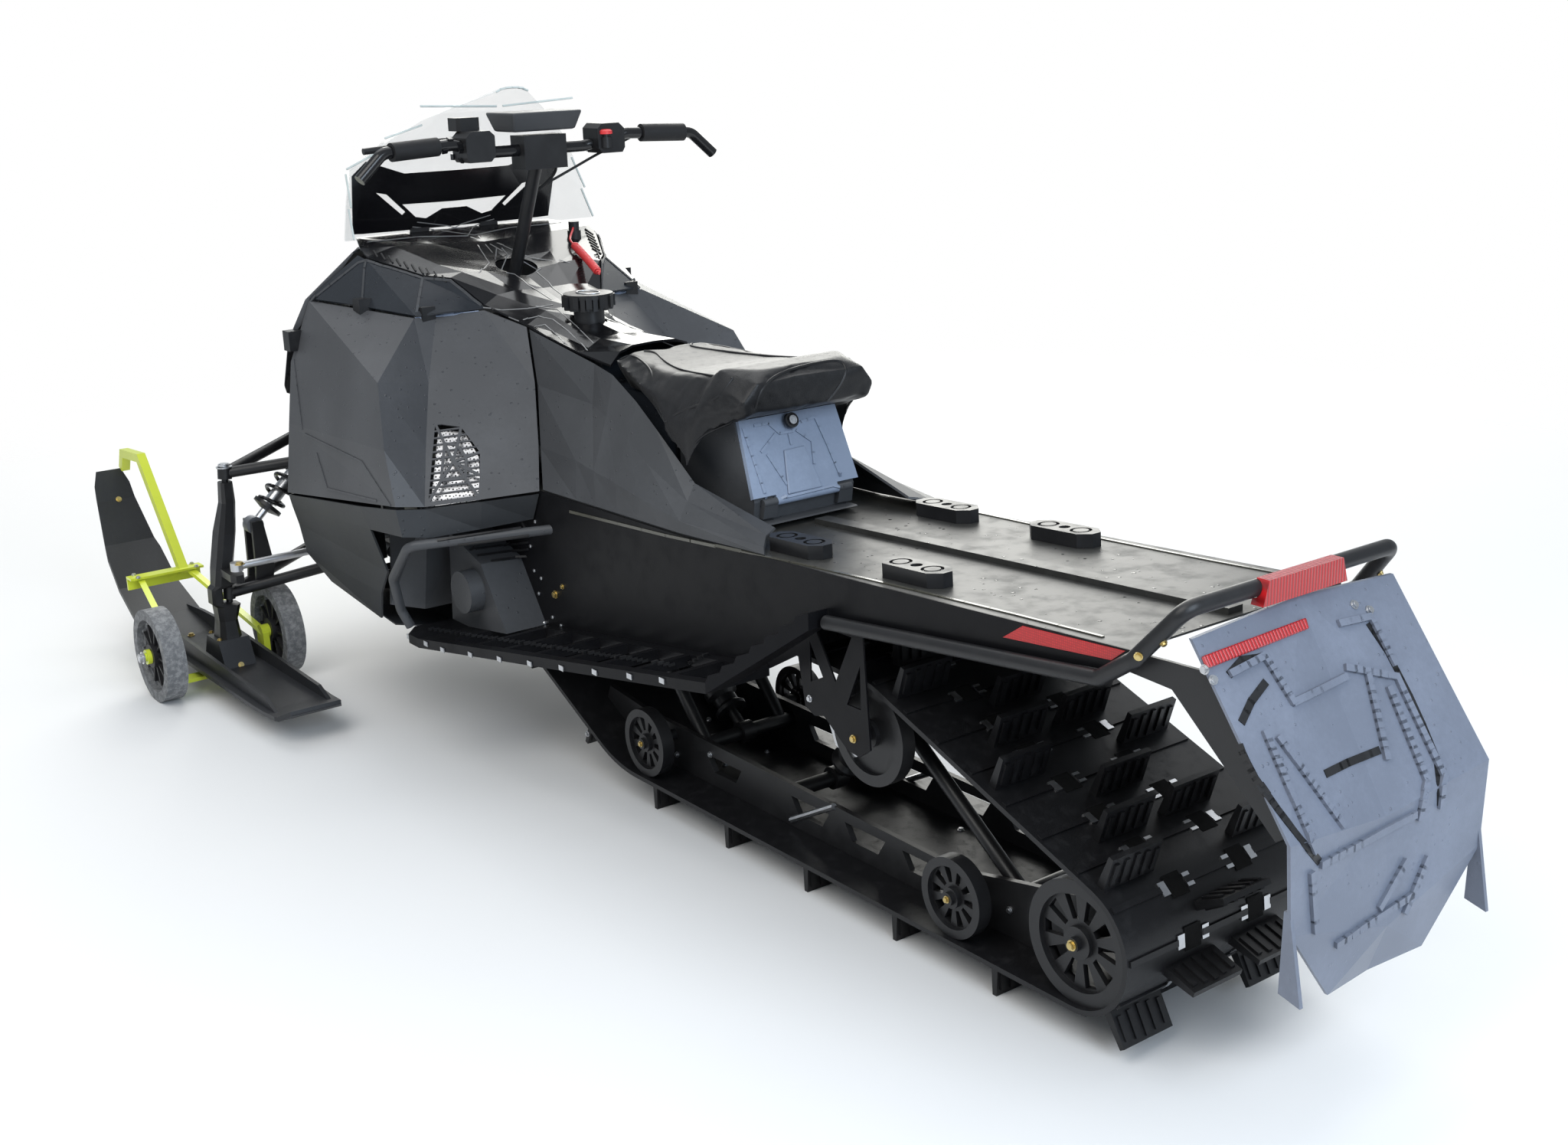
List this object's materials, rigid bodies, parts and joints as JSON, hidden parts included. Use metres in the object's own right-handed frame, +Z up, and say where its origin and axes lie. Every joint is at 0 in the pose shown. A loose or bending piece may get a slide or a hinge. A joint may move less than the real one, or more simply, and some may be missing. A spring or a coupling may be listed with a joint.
{
  "type": "snowmobile",
  "caption": "Long-track snowmobile with a lugged track, two skis, handlebar, seat and a flat rear deck, standing on wheeled ski dollies.",
  "frame": {"origin": "floor under the middle of the vehicle's length and width", "axes": "+X forward along the vehicle, +Y to its left, +Z up"},
  "size_m": [3.279, 1.3606, 1.242],
  "materials": {
    "matte_charcoal": "matte",
    "gloss_black": "gloss",
    "smoke_black": "satin",
    "deck_black": "satin",
    "frame_black": "satin",
    "black_rubber": "matte",
    "track_rubber": "matte",
    "zinc": "satin",
    "dolly_yellow": "gloss",
    "dolly_tyre": "worn",
    "clear_sheet": "clear",
    "lamp_red": "gloss",
    "lamp_clear": "clear",
    "seat_vinyl": "grained",
    "door_grey": "satin",
    "flap_grey": "satin",
    "ski_black": "satin",
    "engine_grey": "cast",
    "tether_red": "gloss"
  },
  "bodies": {
    "chassis": {"track": "track_rubber", "bogie_wheels": "frame_black", "rear_idlers": "frame_black", "carrier_wheels": "frame_black", "drive_sprockets": "frame_black", "skid_rails": "frame_black", "skid_arms": "frame_black", "skid_shocks": "frame_black", "tunnel_top": "deck_black", "tunnel_sides": "deck_black", "running_boards": "deck_black", "rear_bumper": "frame_black", "tail_light": "lamp_red", "snow_flap": "flap_grey", "flap_struts": "frame_black", "side_panel_left": "matte_charcoal", "side_panel_right": "matte_charcoal", "belly_panel_left": "matte_charcoal", "belly_panel_right": "matte_charcoal", "belly_pan": "matte_charcoal", "upper_cowls": "smoke_black", "fairings": "matte_charcoal", "console": "gloss_black", "fuel_tank": "smoke_black", "gas_cap": "frame_black", "dash_wing": "gloss_black", "windshield": "clear_sheet", "hood": "matte_charcoal", "headlight": "lamp_clear", "nose": "matte_charcoal", "bulkhead": "frame_black", "panel_mounts": "frame_black", "engine_block": "engine_grey", "front_bumper": "frame_black", "suspension_arms": "frame_black", "ski_shocks": "frame_black", "seat_cushion": "seat_vinyl", "storage_box": "frame_black", "footwells": "deck_black", "cargo_bases": "frame_black", "stop_switch": "frame_black", "tether_curl": "tether_red", "tether_lead": "tether_red"},
    "bar": {"steering_post": "frame_black", "handlebar": "gloss_black", "grips": "black_rubber", "controls": "frame_black", "bar_pad": "matte_charcoal"},
    "tie_link": {"tie_rods": "frame_black"},
    "door": {"storage_door": "door_grey"},
    "knuckle_left": {"spindle_left": "frame_black", "ski_left": "ski_black", "dolly_frame_left": "dolly_yellow"},
    "roller_outer_left": {"dolly_wheel_outer_left": "dolly_tyre"},
    "roller_inner_left": {"dolly_wheel_inner_left": "dolly_tyre"},
    "knuckle_right": {"spindle_right": "frame_black", "ski_right": "ski_black", "dolly_frame_right": "dolly_yellow"},
    "roller_outer_right": {"dolly_wheel_outer_right": "dolly_tyre"},
    "roller_inner_right": {"dolly_wheel_inner_right": "dolly_tyre"}
  },
  "joints": [
    {"name": "bar_turn", "type": "hinge", "parent": "chassis", "child": "bar", "pos_m": [0.33, 0, 1.127], "axis": [-0.4651, 0, 0.8852], "range_deg": [-30, 30]},
    {"name": "tie_slide", "type": "slide", "parent": "chassis", "child": "tie_link", "axis": [0, 1, 0], "range_m": [-0.045, 0.045]},
    {"name": "door_hinge", "type": "hinge", "parent": "chassis", "child": "door", "pos_m": [-0.476, 0, 0.592], "axis": [0, -1, 0], "range_deg": [0, 95]},
    {"name": "steer_left", "type": "hinge", "parent": "chassis", "child": "knuckle_left", "pos_m": [0.952, 0.46, 0.464], "axis": [0.0384, -0.096, 0.9946], "range_deg": [-24, 24]},
    {"name": "roll_outer_left", "type": "hinge", "parent": "knuckle_left", "child": "roller_outer_left", "pos_m": [0.954, 0.644, 0.1], "axis": [0, 1, 0], "continuous": true},
    {"name": "roll_inner_left", "type": "hinge", "parent": "knuckle_left", "child": "roller_inner_left", "pos_m": [0.954, 0.382, 0.1], "axis": [0, 1, 0], "continuous": true},
    {"name": "steer_right", "type": "hinge", "parent": "chassis", "child": "knuckle_right", "pos_m": [0.952, -0.46, 0.464], "axis": [0.0384, 0.096, 0.9946], "range_deg": [-24, 24]},
    {"name": "roll_outer_right", "type": "hinge", "parent": "knuckle_right", "child": "roller_outer_right", "pos_m": [0.954, -0.644, 0.1], "axis": [0, 1, 0], "continuous": true},
    {"name": "roll_inner_right", "type": "hinge", "parent": "knuckle_right", "child": "roller_inner_right", "pos_m": [0.954, -0.382, 0.1], "axis": [0, 1, 0], "continuous": true}
  ],
  "couplings": [
    {"joint": "steer_left", "follows": "bar_turn", "ratio": 0.8},
    {"joint": "steer_right", "follows": "bar_turn", "ratio": 0.8},
    {"joint": "tie_slide", "follows": "bar_turn", "m_per_rad": -0.073}
  ]
}
